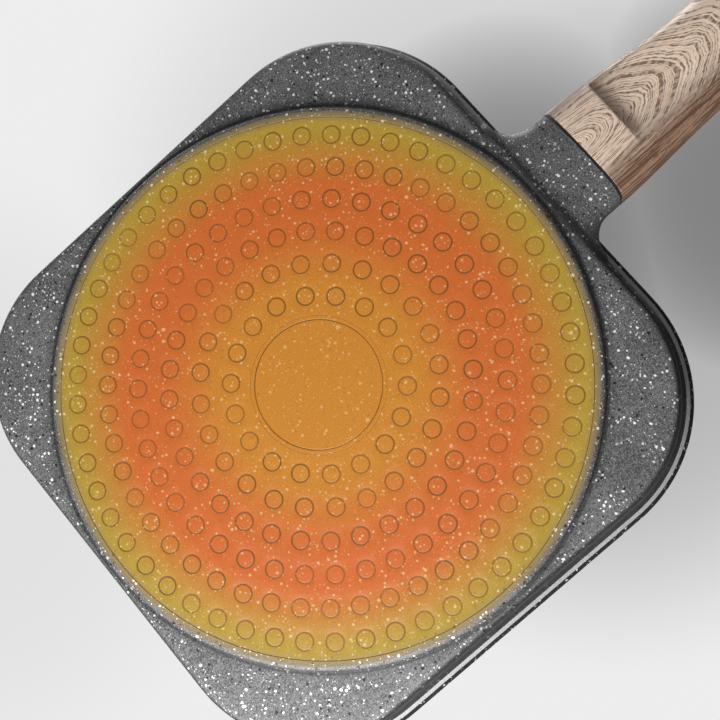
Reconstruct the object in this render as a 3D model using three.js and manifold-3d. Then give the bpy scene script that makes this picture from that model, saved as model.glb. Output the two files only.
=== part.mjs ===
// Egg pan: a cast square pan with four round cups, a perforated induction plate pressed into
// its base, and a wood-look grip screwed to a cast neck.
// Millimetres, +Z up, the handle along +X, origin at the centre of the underside of the base.
import * as THREE from 'three';
import { mergeVertices } from 'three/addons/utils/BufferGeometryUtils.js';
import Module from 'manifold-3d';

const wasm = await Module();
wasm.setup();

// Fits
const FIT = 0.3; // gap all round a piece that sits in another
const OVERCUT = 1; // how far a cut, or a root that is joined in, runs past the face it crosses
const ROUND_STEPS = 4; // facets in a quarter round

// Pan body
const RIM_HALF_WIDTH = 94; // middle of the pan to the outside of the rim lip
const RIM_CORNER_RADIUS = 48;
const PAN_HEIGHT = 25;
const LIP_HEIGHT = 7; // thickened lip round the top of the wall
const LIP_REACH = 3.3; // how far the lip stands out from the wall
const LIP_ROUND = 1;
const WALL_LEAN = 1.5; // the wall leans out by this from its foot to the lip
const FOOT_ROUND = 2.8; // round from the corner flats into the wall
const FLATS_HEIGHT = 2; // corner flats above the resting plane
const CORNER_STEPS = 10;
const FOOT_HALF_WIDTH = RIM_HALF_WIDTH - LIP_REACH - WALL_LEAN;

// Cups in the top of the pan
const CUP_RADIUS = 42;
const CUP_RIM_EXTRA = 5; // the deck is this much wider than the cups' spacing, in each quarter
const CUP_SPACING = RIM_HALF_WIDTH - CUP_RIM_EXTRA; // centre to centre, both ways
const CUP_DEPTH = 20;
const CUP_TAPER = 3; // the cup narrows by this from mouth to floor
const CUP_FLOOR_ROUND = 5;
const CUP_MOUTH_BEVEL = 1.2;
const CUP_SIDES = 36;

// Round drum under the pan and the plate let into it
const DRUM_INSET = 2.6; // foot of the wall to the drum, at the middle of a side
const DRUM_RADIUS = FOOT_HALF_WIDTH - DRUM_INSET;
const DRUM_ROUND = 2; // round at the edge of the drum
const DRUM_SIDES = 60;
const PLATE_INSET = 3.6; // edge of the drum to the edge of the plate
const PLATE_RADIUS = DRUM_RADIUS - PLATE_INSET;
const PLATE_THICKNESS = 0.8;
const BOSS_RADIUS = 19.9; // round boss of the body that shows through the middle of the plate
const RING_COUNTS = [18, 24, 32, 38, 46, 52]; // holes in each ring, from the middle out
const FIRST_RING_GAP = 7.6; // edge of the boss to the first ring
const LAST_RING_INSET = 5.5; // last ring to the edge of the plate
const FIRST_RING_RADIUS = BOSS_RADIUS + FIRST_RING_GAP;
const LAST_RING_RADIUS = PLATE_RADIUS - LAST_RING_INSET;
const RING_PITCH = (LAST_RING_RADIUS - FIRST_RING_RADIUS) / (RING_COUNTS.length - 1);
const PLATE_HOLE_RADIUS = 2.75;
const PLATE_HOLE_SIDES = 8;
const PLATE_TURN = THREE.MathUtils.degToRad(2.25); // the rings stand turned by this from the handle

// Neck and the joint face between neck and grip
const NECK_REACH = 11; // rim of the pan to the middle of the joint face
const SEAM_REACH = RIM_HALF_WIDTH + NECK_REACH;
const SEAM_HEIGHT = 14; // middle of the joint face above the resting plane
const HANDLE_RISE = THREE.MathUtils.degToRad(8);
const NECK_WIDTH = 36;
const NECK_DEPTH = 20;
const NECK_FILLET = 11; // plan round between the pan's side and the neck
const NECK_ROOT_RISE = 2.5; // the underside of the neck climbs by this towards the pan
const NECK_ROOT_BURIED = 6; // length of the neck's root inside the body
const OVAL_POWER = 3.5; // superellipse power of the neck and grip sections
const OVAL_SIDES = 24;
const TENON_LENGTH = 7;
const TENON_WIDTH = 22;
const TENON_DEPTH = 13;

// Fasteners on the handle's axis
const BOLT_RADIUS = 3;
const BOLT_HEAD_RADIUS = 5;
const BOLT_HEAD_HEIGHT = 5;
const BOLT_SOCKET_RADIUS = 2.4; // across the corners of the key socket
const BOLT_SOCKET_DEPTH = 2.8;
const INSERT_RADIUS = 4.5;
const INSERT_LENGTH = 18;
const WASHER_RADIUS = 5.2;
const WASHER_THICKNESS = 1.2;
const LOCK_WASHER_THICKNESS = 1.5;
const LOCK_WASHER_SPLIT = 1; // width of the cut through the lock washer
const ROUND_SIDES = 18;

// Grip
const GASKET_THICKNESS = 0.6;
const GRIP_LENGTH = 168;
const GRIP_WAIST_AT = 48; // where the grip is narrowest
const GRIP_WAIST_WIDTH = 31;
const GRIP_SWELL_AT = 105; // where the palm swell is fullest
const GRIP_SWELL_WIDTH = 33;
const GRIP_SWELL_DEPTH = 22;
const GRIP_TAIL_WIDTH = 26;
const GRIP_TAIL_DEPTH = 15;
const GRIP_TAIL_ROUND = 10; // length of the rounded tail
const GRIP_STEPS = 18;
const BOLT_SEAT_AT = 22; // shoulder that the washers bear on, from the joint face
const SLOT_LENGTH = 18; // hanging slot near the tail
const SLOT_WIDTH = 8;
const SLOT_FROM_TAIL = 9; // slot's end to the tail of the grip
const SCOOP_AT = 15; // front edge of the finger scoop, from the joint face
const SCOOP_STEP = 1.5; // length of the slope at the front of the scoop
const SCOOP_DEPTH = 2.8;
const SCOOP_LENGTH = 62;

const finishes = {
  stoneCoat: { color: 0x55555a, roughness: 0.55, metalness: 0.1 },
  steel: { color: 0x8f8b84, roughness: 0.4, metalness: 0.8 },
  zincSteel: { color: 0xb4b6b8, roughness: 0.35, metalness: 0.9 },
  brass: { color: 0xb08d4a, roughness: 0.35, metalness: 0.9 },
  silicone: { color: 0x1b1a19, roughness: 0.8, metalness: 0 },
  woodLook: { color: 0xb4917a, roughness: 0.5, metalness: 0 },
};

// A closed geometry as a solid that can be joined and cut.
function solid(geometry) {
  const bare = geometry.clone();
  bare.deleteAttribute('normal');
  bare.deleteAttribute('uv');
  const merged = mergeVertices(bare, 1e-4);
  return new wasm.Manifold(new wasm.Mesh({
    numProp: 3,
    vertProperties: new Float32Array(merged.attributes.position.array),
    triVerts: new Uint32Array(merged.index.array),
  }));
}

function geometryOf(body) {
  const mesh = body.getMesh();
  const geometry = new THREE.BufferGeometry();
  geometry.setAttribute('position', new THREE.BufferAttribute(mesh.vertProperties, 3));
  geometry.setIndex(new THREE.BufferAttribute(mesh.triVerts, 1));
  geometry.computeVertexNormals();
  return geometry;
}

function named(name, geometry, finish) {
  const mesh = new THREE.Mesh(geometry, new THREE.MeshStandardMaterial(finish));
  mesh.name = name;
  return mesh;
}

// Skin over a row of equal rings of points, with a flat cap at each end.
function loft(rings) {
  const count = rings[0].length;
  const points = rings.flat();
  const faces = [];
  for (let ring = 0; ring < rings.length - 1; ring++) {
    for (let i = 0; i < count; i++) {
      const near = ring * count + i;
      const nearNext = ring * count + ((i + 1) % count);
      faces.push(near, nearNext, nearNext + count, near, nearNext + count, near + count);
    }
  }
  const middleOf = (ring) => ring.reduce((sum, p) => sum.add(p), new THREE.Vector3()).divideScalar(count);
  const firstMiddle = points.push(middleOf(rings[0])) - 1;
  const lastMiddle = points.push(middleOf(rings.at(-1))) - 1;
  const lastStart = (rings.length - 1) * count;
  for (let i = 0; i < count; i++) {
    const next = (i + 1) % count;
    faces.push(firstMiddle, next, i);
    faces.push(lastMiddle, lastStart + i, lastStart + next);
  }
  const geometry = new THREE.BufferGeometry().setFromPoints(points);
  geometry.setIndex(faces);
  return geometry;
}

// Profile points [radius, height] turned about Z.
function turned(profile, sides) {
  return new THREE.LatheGeometry(profile.map(([r, z]) => new THREE.Vector2(r, z)), sides).rotateX(Math.PI / 2);
}

// The same, laid along the handle's axis: profile points are [radius, distance along the axis].
function turnedOnAxis(profile, sides = ROUND_SIDES) {
  return turned(profile, sides).rotateY(Math.PI / 2);
}

function rod(radius, from, to, sides = ROUND_SIDES) {
  return turnedOnAxis([[0, from], [radius, from], [radius, to], [0, to]], sides);
}

function tube(inner, outer, from, to) {
  return turnedOnAxis([[inner, from], [outer, from], [outer, to], [inner, to], [inner, from]]);
}

// Points of a quarter round, from one angle to the other, about a centre.
function arc(cx, cy, radius, fromDegrees, toDegrees, steps) {
  return Array.from({ length: steps + 1 }, (_, i) => {
    const angle = THREE.MathUtils.degToRad(fromDegrees + ((toDegrees - fromDegrees) * i) / steps);
    return [cx + radius * Math.cos(angle), cy + radius * Math.sin(angle)];
  });
}

// Square ring with round corners at one height of the pan's wall.
function squareRing(halfWidth, height) {
  const radius = RIM_CORNER_RADIUS - (RIM_HALF_WIDTH - halfWidth);
  const inset = halfWidth - radius;
  return [[1, 1], [-1, 1], [-1, -1], [1, -1]].flatMap(([sx, sy], corner) =>
    arc(sx * inset, sy * inset, radius, corner * 90, corner * 90 + 90, CORNER_STEPS)
      .map(([x, y]) => new THREE.Vector3(x, y, height)));
}

// Oval section across the handle's axis, a superellipse.
function ovalRing(along, width, depth, lift = 0) {
  return Array.from({ length: OVAL_SIDES }, (_, i) => {
    const angle = (i / OVAL_SIDES) * Math.PI * 2;
    const round = (value) => Math.sign(value) * Math.abs(value) ** (2 / OVAL_POWER);
    const across = (width / 2) * round(Math.cos(angle));
    return new THREE.Vector3(along, across, lift + (depth / 2) * round(Math.sin(angle)));
  });
}

const handleFrame = new THREE.Matrix4()
  .makeRotationY(-HANDLE_RISE)
  .setPosition(SEAM_REACH, 0, SEAM_HEIGHT);

function outerWall() {
  const lipUnder = PAN_HEIGHT - LIP_HEIGHT;
  const profile = [
    ...arc(FOOT_HALF_WIDTH - FOOT_ROUND, FLATS_HEIGHT + FOOT_ROUND, FOOT_ROUND, -90, 0, ROUND_STEPS),
    [FOOT_HALF_WIDTH + WALL_LEAN, lipUnder],
    ...arc(RIM_HALF_WIDTH - LIP_REACH, lipUnder + LIP_REACH, LIP_REACH, -60, 0, ROUND_STEPS / 2),
    ...arc(RIM_HALF_WIDTH - LIP_ROUND, PAN_HEIGHT - LIP_ROUND, LIP_ROUND, 0, 90, ROUND_STEPS / 2),
  ];
  return loft(profile.map(([halfWidth, height]) => squareRing(halfWidth, height)));
}

function drum() {
  const rooted = FLATS_HEIGHT + OVERCUT;
  return turned([
    [0, 0],
    ...arc(DRUM_RADIUS - DRUM_ROUND, DRUM_ROUND, DRUM_ROUND, -90, 0, ROUND_STEPS),
    [DRUM_RADIUS, rooted],
    [0, rooted],
  ], DRUM_SIDES);
}

function plateSeat() {
  const below = -OVERCUT;
  const outer = PLATE_RADIUS + FIT;
  return turned([
    [BOSS_RADIUS, below],
    [outer, below],
    [outer, PLATE_THICKNESS],
    [BOSS_RADIUS, PLATE_THICKNESS],
    [BOSS_RADIUS, below],
  ], DRUM_SIDES);
}

function cupCavity() {
  const floor = PAN_HEIGHT - CUP_DEPTH;
  const floorRadius = CUP_RADIUS - CUP_TAPER - CUP_FLOOR_ROUND;
  const clear = PAN_HEIGHT + OVERCUT;
  return turned([
    [0, floor],
    ...arc(floorRadius, floor + CUP_FLOOR_ROUND, CUP_FLOOR_ROUND, -90, 0, ROUND_STEPS),
    [CUP_RADIUS, PAN_HEIGHT - CUP_MOUTH_BEVEL],
    [CUP_RADIUS + CUP_MOUTH_BEVEL, PAN_HEIGHT],
    [CUP_RADIUS + CUP_MOUTH_BEVEL, clear],
    [0, clear],
  ], CUP_SIDES);
}

// The neck leaves the pan's side in two plan rounds and ends square to the handle's axis.
function neck() {
  const wallAt = -(NECK_REACH + LIP_REACH) / Math.cos(HANDLE_RISE);
  const fillet = Math.min(NECK_FILLET, -wallAt - OVERCUT);
  const rootWidth = NECK_WIDTH + 2 * fillet;
  const section = (along, width) => {
    const rise = NECK_ROOT_RISE * Math.min(along / wallAt, 1);
    return ovalRing(along, width, NECK_DEPTH - rise, rise / 2);
  };
  const flare = arc(0, 0, fillet, 180, 270, ROUND_STEPS + 2).map(([forward, side]) =>
    section(wallAt + fillet + forward, rootWidth + 2 * side));
  return loft([section(wallAt - NECK_ROOT_BURIED, rootWidth), ...flare, section(0, NECK_WIDTH)]);
}

function tenon(grow) {
  const length = 2 * (TENON_LENGTH + grow);
  return new THREE.BoxGeometry(length, TENON_WIDTH + 2 * grow, TENON_DEPTH + 2 * grow);
}

function panBody() {
  const insertEnd = TENON_LENGTH - INSERT_LENGTH;
  const insertBore = rod(INSERT_RADIUS + FIT, insertEnd - FIT, TENON_LENGTH + OVERCUT);
  const handleSide = geometryOf(solid(neck()).add(solid(tenon(0))));
  let body = solid(outerWall()).add(solid(drum())).add(solid(handleSide.applyMatrix4(handleFrame)));
  body = body.subtract(solid(insertBore.applyMatrix4(handleFrame))).subtract(solid(plateSeat()));
  for (const sx of [-1, 1]) {
    for (const sy of [-1, 1]) {
      const cavity = cupCavity().translate((sx * CUP_SPACING) / 2, (sy * CUP_SPACING) / 2, 0);
      body = body.subtract(solid(cavity));
    }
  }
  return named('pan_body', geometryOf(body), finishes.stoneCoat);
}

// Closed round outline as a polygon.
function circle(x, y, radius, sides) {
  const points = arc(x, y, radius, 0, 360, sides).slice(0, sides);
  return points.map(([px, py]) => new THREE.Vector2(px, py));
}

function basePlate() {
  const shape = new THREE.Shape(circle(0, 0, PLATE_RADIUS, DRUM_SIDES));
  shape.holes.push(new THREE.Path(circle(0, 0, BOSS_RADIUS + FIT, ROUND_SIDES * 2)));
  RING_COUNTS.forEach((count, ring) => {
    const radius = FIRST_RING_RADIUS + ring * RING_PITCH;
    for (let i = 0; i < count; i++) {
      const angle = PLATE_TURN + (i / count) * Math.PI * 2;
      const [x, y] = [radius * Math.cos(angle), radius * Math.sin(angle)];
      shape.holes.push(new THREE.Path(circle(x, y, PLATE_HOLE_RADIUS, PLATE_HOLE_SIDES)));
    }
  });
  const plate = new THREE.ExtrudeGeometry(shape, { depth: PLATE_THICKNESS, bevelEnabled: false });
  return named('base_plate', geometryOf(solid(plate)), finishes.steel);
}

function neckGasket() {
  const from = FIT;
  const slab = loft([from, from + GASKET_THICKNESS].map((along) => ovalRing(along, NECK_WIDTH, NECK_DEPTH)));
  return named('neck_gasket', geometryOf(solid(slab).subtract(solid(tenon(FIT)))), finishes.silicone);
}

// Grip sections: joint face, waist, palm swell and tail, with smooth curves between them.
function gripSkin() {
  const from = GASKET_THICKNESS + 2 * FIT;
  const tailAt = GRIP_LENGTH - GRIP_TAIL_ROUND;
  const stations = new THREE.CatmullRomCurve3([
    new THREE.Vector3(from, NECK_WIDTH, NECK_DEPTH),
    new THREE.Vector3(GRIP_WAIST_AT, GRIP_WAIST_WIDTH, NECK_DEPTH),
    new THREE.Vector3(GRIP_SWELL_AT, GRIP_SWELL_WIDTH, GRIP_SWELL_DEPTH),
    new THREE.Vector3(tailAt, GRIP_TAIL_WIDTH, GRIP_TAIL_DEPTH),
  ], false, 'centripetal').getPoints(GRIP_STEPS);
  const rings = stations.map(({ x, y, z }) => ovalRing(x, y, z));
  const roundEnd = arc(0, 0, 1, 15, 75, ROUND_STEPS).map(([across, forward]) =>
    ovalRing(tailAt + GRIP_TAIL_ROUND * forward, GRIP_TAIL_WIDTH * across, GRIP_TAIL_DEPTH * across));
  return loft([...rings, ...roundEnd]);
}

// Shallow finger scoop across the underside, with a short slope at its front edge.
function fingerScoop() {
  const under = -GRIP_SWELL_DEPTH;
  const floor = -NECK_DEPTH / 2 + SCOOP_DEPTH;
  const profile = new THREE.Shape();
  profile.moveTo(SCOOP_AT - SCOOP_STEP, under);
  profile.lineTo(SCOOP_AT, -NECK_DEPTH / 2);
  profile.lineTo(SCOOP_AT + SCOOP_STEP, floor);
  profile.quadraticCurveTo(SCOOP_AT + SCOOP_LENGTH / 2, floor, SCOOP_AT + SCOOP_LENGTH, under / 2 - SCOOP_DEPTH);
  profile.lineTo(SCOOP_AT + SCOOP_LENGTH, under);
  const cut = new THREE.ExtrudeGeometry(profile, { depth: NECK_WIDTH, bevelEnabled: false, curveSegments: 8 });
  return cut.translate(0, 0, -NECK_WIDTH / 2).rotateX(Math.PI / 2);
}

function hangingSlot() {
  const end = GRIP_LENGTH - SLOT_FROM_TAIL - SLOT_WIDTH / 2;
  const start = end - SLOT_LENGTH + SLOT_WIDTH;
  const outline = new THREE.Shape();
  outline.absarc(end, 0, SLOT_WIDTH / 2, -Math.PI / 2, Math.PI / 2);
  outline.absarc(start, 0, SLOT_WIDTH / 2, Math.PI / 2, (Math.PI * 3) / 2);
  const cut = new THREE.ExtrudeGeometry(outline, { depth: NECK_DEPTH * 2, bevelEnabled: false, curveSegments: 8 });
  return cut.translate(0, 0, -NECK_DEPTH);
}

function handleGrip() {
  const slotStart = GRIP_LENGTH - SLOT_FROM_TAIL - SLOT_LENGTH;
  const cuts = [
    tenon(FIT),
    rod(BOLT_RADIUS + FIT, 0, BOLT_SEAT_AT + OVERCUT),
    rod(WASHER_RADIUS + FIT, BOLT_SEAT_AT, slotStart + SLOT_WIDTH / 2),
    fingerScoop(),
    hangingSlot(),
  ];
  const grip = cuts.reduce((body, cut) => body.subtract(solid(cut)), solid(gripSkin()));
  return named('handle_grip', geometryOf(grip), finishes.woodLook);
}

function threadedInsert() {
  const to = TENON_LENGTH;
  const shape = tube(BOLT_RADIUS + FIT, INSERT_RADIUS, to - INSERT_LENGTH, to);
  return named('threaded_insert', geometryOf(solid(shape)), finishes.brass);
}

function flatWasher(from) {
  const shape = tube(BOLT_RADIUS + FIT, WASHER_RADIUS, from, from + WASHER_THICKNESS);
  return named('flat_washer', geometryOf(solid(shape)), finishes.zincSteel);
}

function lockWasher(from) {
  const ring = tube(BOLT_RADIUS + FIT, BOLT_HEAD_RADIUS, from, from + LOCK_WASHER_THICKNESS);
  const split = new THREE.BoxGeometry(WASHER_RADIUS, LOCK_WASHER_SPLIT, WASHER_RADIUS * 2)
    .translate(from, 0, WASHER_RADIUS);
  return named('lock_washer', geometryOf(solid(ring).subtract(solid(split))), finishes.zincSteel);
}

function handleBolt(headFrom) {
  const tip = TENON_LENGTH - INSERT_LENGTH + FIT;
  const headTo = headFrom + BOLT_HEAD_HEIGHT;
  const blank = turnedOnAxis([
    [0, tip],
    [BOLT_RADIUS, tip],
    [BOLT_RADIUS, headFrom],
    [BOLT_HEAD_RADIUS, headFrom],
    [BOLT_HEAD_RADIUS, headTo],
    [0, headTo],
  ]);
  const socket = rod(BOLT_SOCKET_RADIUS, headTo - BOLT_SOCKET_DEPTH, headTo + OVERCUT, 6);
  return named('handle_bolt', geometryOf(solid(blank).subtract(solid(socket))), finishes.zincSteel);
}

const handle = new THREE.Group();
handle.position.set(SEAM_REACH, 0, SEAM_HEIGHT);
handle.rotation.y = -HANDLE_RISE;
const flatWasherAt = BOLT_SEAT_AT + FIT;
const lockWasherAt = flatWasherAt + WASHER_THICKNESS + FIT;
const boltHeadAt = lockWasherAt + LOCK_WASHER_THICKNESS + FIT;
handle.add(neckGasket(), handleGrip(), threadedInsert());
handle.add(flatWasher(flatWasherAt), lockWasher(lockWasherAt), handleBolt(boltHeadAt));

const eggPan = new THREE.Group();
eggPan.add(panBody(), basePlate(), handle);

export default eggPan;
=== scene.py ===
"""Looks of the egg pan: speckled cast body, heat-tinted perforated base plate and wood-look grip."""

import math
from functools import reduce
from itertools import chain

import bmesh
import bpy
import numpy as np
from bpy.props import FloatProperty, FloatVectorProperty, PointerProperty
from mathutils import Euler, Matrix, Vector


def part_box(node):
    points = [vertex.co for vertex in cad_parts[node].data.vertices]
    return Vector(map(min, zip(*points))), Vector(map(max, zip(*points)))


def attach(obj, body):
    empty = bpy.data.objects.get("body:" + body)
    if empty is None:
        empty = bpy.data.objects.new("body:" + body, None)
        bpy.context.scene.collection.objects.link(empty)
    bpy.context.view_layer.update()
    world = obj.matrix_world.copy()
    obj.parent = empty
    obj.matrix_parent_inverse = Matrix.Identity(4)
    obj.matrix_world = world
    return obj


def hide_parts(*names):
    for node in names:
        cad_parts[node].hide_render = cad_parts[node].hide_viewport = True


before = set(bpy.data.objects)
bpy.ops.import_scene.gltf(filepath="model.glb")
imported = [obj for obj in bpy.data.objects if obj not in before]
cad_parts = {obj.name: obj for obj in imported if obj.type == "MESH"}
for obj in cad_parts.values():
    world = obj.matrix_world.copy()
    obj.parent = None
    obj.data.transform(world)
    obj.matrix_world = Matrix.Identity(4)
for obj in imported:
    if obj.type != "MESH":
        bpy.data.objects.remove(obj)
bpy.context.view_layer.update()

bl_info = {
    "name": "Egg Pan",
    "version": (1, 0, 0),
    "blender": (4, 5, 0),
    "location": "3D View > Sidebar > Egg Pan",
    "description": "Builds the finished surfaces of a four-cup egg pan on its packed frame",
    "category": "Add Mesh",
}

MM = 0.001
BODY = "root"
STONE = "Stone-look coat"
# The pale line under the lip is a painted highlight, standing for light on the lip's underside.
LIP_HIGHLIGHT = "Painted lip highlight"
RIM = "Black coat"
WOOD = "Wood-look film"

# Sizes and counts that follow the solids.
BODY_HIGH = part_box("pan_body")[1]
PLATE_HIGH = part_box("base_plate")[1]
RIM_HALF_WIDTH = BODY_HIGH.y
PAN_HEIGHT = BODY_HIGH.z
PLATE_RADIUS = PLATE_HIGH.x
PLATE_THICKNESS = PLATE_HIGH.z
RING_COUNTS = (18, 24, 32, 38, 46, 52)

# Clearances: at the joint, between plate and casting, and between faces that would touch.
FIT = 0.3 * MM
SEAM = 0.1 * MM
HAIR = 0.05 * MM

# Small edges: beside the plate's seams, and at the joint on neck and grip. The inset keeps the grip's surface
# inside the box of its solid.
BEVEL = 0.12 * MM
NECK_EDGE = 0.2 * MM
GRIP_EDGE = 0.25 * MM
GRIP_INSET = 0.1 * MM

# Closing of seams, and the angle from which an edge is sharp.
MERGE_DISTANCE = 0.002 * MM
SLIVER_LENGTH = 0.0001 * MM
SHARP_ANGLE = math.radians(26)

# How finely the surfaces are divided.
EDGE_STEPS = 30
OVAL_SIDES = 120
PLATE_SIDES = 180
STUD_STEPS = 8
DECK_SHARES = (0.3, 0.65, 1.0)
FLATS_SHARES = (0.33, 0.66)

# The finishes, by place in the body's list of materials; the second is the painted highlight under the lip.
SPECKLED, HIGHLIGHT, BLACK = range(3)

# Grain, wear and specks: scales are lumps or cells in a metre, and a speck's largest radius and softness are
# shares of a cell.
GRAIN_SCALE = 2300.0
CLOUD_SCALE = 45.0
WOBBLE_SCALE = 1500.0
WOBBLE = 0.5 * MM
WEAR_SCALE = 28.0
FEW_SPECKS = {"scale": 430.0, "largest": 0.30, "rarity": 12.0}
MANY_SPECKS = {"scale": 880.0, "largest": 0.46, "rarity": 3.7}
TINY_SPECKS = {"scale": 1600.0, "largest": 0.46, "rarity": 7.0}
BLACK_SPECKS = {"scale": 700.0, "largest": 0.42, "rarity": 3.2}
SPECK_SOFTNESS = 0.03
BUMP_HEIGHT = 0.2 * MM

# Where the heat tint changes colour, as shares of the plate's radius.
HEAT_PLACES = (0.00, 0.36, 0.58, 0.75, 0.96)
HEAT_END = (0.972, 1.045)
NO_LIGHT = (0.0, 0.0, 0.0)

# Wood figure: the arches' start before the joint and to one side, how much they are squeezed, and how far
# noise bends them. Scales are lumps or lines in a metre.
ARCH_BEFORE = 6 * MM
ARCH_ASIDE = 2.5 * MM
ARCH_SQUEEZE_ACROSS = 3.5
ARCH_SQUEEZE_UP = 2.0
WAVE_SCALE = 55.0
WAVE_SWING = 16 * MM
RIPPLE_SCALE = 450.0
RIPPLE_SWING = 2.2 * MM
FIBRE_SCALE = 1500.0
DASH_SCALE = 800.0
BROAD_SCALE = 110.0
LINE_SCALE = 1050.0
BAND_SCALE = 330.0

# Where the grip's dense side stripes start and are full, from its middle, and how the right ones spread.
RIGHT_SIDE = (7.0 * MM, 13.5 * MM)
RIGHT_SIDE_LEAN = 0.05
LEFT_SIDE = (12.5 * MM, 17.0 * MM)

# The picture's side in pixels, and the camera's sensor in millimetres.
IMAGE_SIDE = 720
SENSOR = 36.0

# Soft shades on the backdrop: picture x, picture y and radius in pixels, then strength.
BACKDROP_SHADES = (
    (767, 185, 282, 1.0),
    (516, 248, 295, 1.0),
    (598, 289, 403, 0.63),
    (489, 244, 455, 0.36),
    (-59, 475, 333, 0.15),
)

# Soft lights far away: direction, reach in degrees and strength.
FAR_LIGHTS = (
    ((0.28, -0.45, 0.12), 26, 11.0),
    ((-0.35, -0.45, 0.75), 40, 5.0),
)


def size_property(name, description, millimetres):
    """A length property whose default is given in millimetres."""
    return FloatProperty(
        name=name, description=description, default=millimetres * MM, unit="LENGTH", precision=5)


def angle_property(name, description, degrees):
    """An angle property whose default is given in degrees."""
    return FloatProperty(name=name, description=description, default=math.radians(degrees), subtype="ANGLE")


def share_property(name, description, default):
    """A property between 0 and 1."""
    return FloatProperty(name=name, description=description, default=default, min=0.0, max=1.0)


def colour_property(name, description, default):
    """A colour property whose default is given in linear values."""
    return FloatVectorProperty(
        name=name, description=description, default=default, subtype="COLOR", size=3, min=0.0, max=1.0)


class PanBodySettings(bpy.types.PropertyGroup):
    """Sizes of the cast body."""

    corner: size_property("Corner radius", "Plan radius of the rim's corners", 48)
    lip_height: size_property("Lip height", "Height of the thickened rim lip", 7)
    lip_reach: size_property("Lip reach", "How far the lip stands out from the wall", 3.3)
    lip_round: size_property("Lip round", "Round at the top edge of the lip", 1.0)
    wall_lean: size_property("Wall lean", "How far the wall leans out from foot to lip", 1.5)
    wall_break: size_property("Wall break", "Where the fillet under the lip ends, below the lip", 1.5)
    # Between these two heights under the lip lies the painted highlight.
    highlight_top: size_property("Line top", "Top of the pale line, above the lip's lowest point", 0.6)
    highlight_foot: size_property("Line foot", "Foot of the pale line, above the lip's lowest point", 0.1)
    foot_round: size_property("Foot round", "Round from the corner flats into the wall", 2.8)
    flats_height: size_property("Flats height", "Corner flats above the resting plane", 2.0)
    drum_radius: size_property("Drum radius", "Radius of the round base drum", 86.6)
    drum_round: size_property("Drum round", "Round at the drum's edge", 2.0)
    drum_fillet: size_property("Drum fillet", "Width of the fillet from the flats to the drum", 1.0)
    boss_radius: size_property("Boss radius", "Boss that shows through the plate's middle", 19.9)
    cup_radius: size_property("Cup radius", "Radius of a cup at its mouth", 42)
    cup_spacing: size_property("Cup spacing", "Distance between cup centres", 89)
    cup_depth: size_property("Cup depth", "Depth of a cup", 20)
    cup_taper: size_property("Cup taper", "How much a cup narrows to its floor", 3)
    cup_neck: size_property("Cup neck", "How much a cup narrows just under its mouth", 0.4)
    cup_floor_round: size_property("Cup floor round", "Round between a cup's floor and wall", 5)
    cup_mouth_round: size_property("Cup mouth round", "Round at a cup's mouth", 1.2)


class BasePlateSettings(bpy.types.PropertyGroup):
    """Sizes of the perforated plate and its rings of flush studs."""

    first_ring: size_property("First ring", "Radius of the innermost ring of holes", 27.5)
    ring_pitch: size_property("Ring pitch", "Distance between rings", 10)
    ring_gap: size_property("Ring gap", "Plain band between two rings of studs", 0.8)
    stud_radius: size_property("Stud radius", "Radius of a hole and its flush stud", 2.75)
    groove_width: size_property("Groove width", "Width of the line round a stud", 0.95)
    groove_depth: size_property("Groove depth", "Depth of the line round a stud", 0.13)
    line_reach: size_property("Line reach", "The fine line round the boss, from the plate's inner edge", 1.3)
    line_width: size_property("Line width", "Width of the fine line round the boss", 0.4)
    line_depth: size_property("Line depth", "Depth of the fine line round the boss", 0.08)
    inner_line: share_property("Inner line", "Radius of the faint line on a stud, as a share of it", 0.66)
    turn: angle_property("Turn", "Turn of the rings from the handle", 2.25)


class HandleSettings(bpy.types.PropertyGroup):
    """Sizes of the neck and grip, along the handle's own axis."""

    seam_reach: size_property("Seam reach", "Middle of the pan to the joint face", 105)
    seam_height: size_property("Seam height", "Joint face's middle above the base", 14)
    rise: angle_property("Rise", "Slope of the handle", 8)
    width: size_property("Joint width", "Width at the joint face", 36)
    depth: size_property("Joint depth", "Depth at the joint face", 20)
    oval_power: FloatProperty(
        name="Oval power", description="Squareness of the neck and grip sections", default=3.5)
    gasket: size_property("Gasket", "Thickness of the gasket at the joint", 0.6)
    neck_fillet: size_property("Neck fillet", "Plan round between the pan's side and the neck", 11)
    neck_root: size_property("Neck root", "How far the neck runs into the pan's side", 5)
    neck_root_rise: size_property("Neck root rise", "How much the neck's underside climbs to the pan", 2.5)
    waist_at: size_property("Waist place", "Where the grip is narrowest", 48)
    waist_width: size_property("Waist width", "Width at the waist", 31)
    swell_at: size_property("Swell place", "Where the palm swell is fullest", 105)
    swell_width: size_property("Swell width", "Width at the palm swell", 33)
    swell_depth: size_property("Swell depth", "Depth at the palm swell", 22)
    tail_width: size_property("Tail width", "Width where the tail starts to round", 26)
    tail_depth: size_property("Tail depth", "Depth where the tail starts to round", 15)
    tail_round: size_property("Tail round", "Length of the rounded tail", 10)
    tail_sweep: angle_property("Tail sweep", "Angle that the tail's round turns through", 74)
    length: size_property("Grip length", "Joint face to the end of the tail", 168)
    scoop_at: size_property("Scoop place", "Front edge of the finger scoop", 15)
    scoop_step: size_property("Scoop step", "Length of the slope at the scoop's front", 1.5)
    scoop_depth: size_property("Scoop depth", "Depth of the finger scoop", 2.8)
    scoop_length: size_property("Scoop length", "Length of the finger scoop", 62)
    scoop_soft: size_property("Scoop softness", "Softness of the scoop's edges", 0.25)
    scoop_fade: size_property("Scoop fade", "Where the scoop starts to fade out to one side", 3.5)
    scoop_fade_length: size_property("Scoop fade length", "How far the scoop takes to fade out", 7)
    slot_length: size_property("Slot length", "Length of the hanging slot", 18)
    slot_width: size_property("Slot width", "Width of the hanging slot", 8)
    slot_from_tail: size_property("Slot from tail", "End of the slot to the tail", 9)


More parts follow.
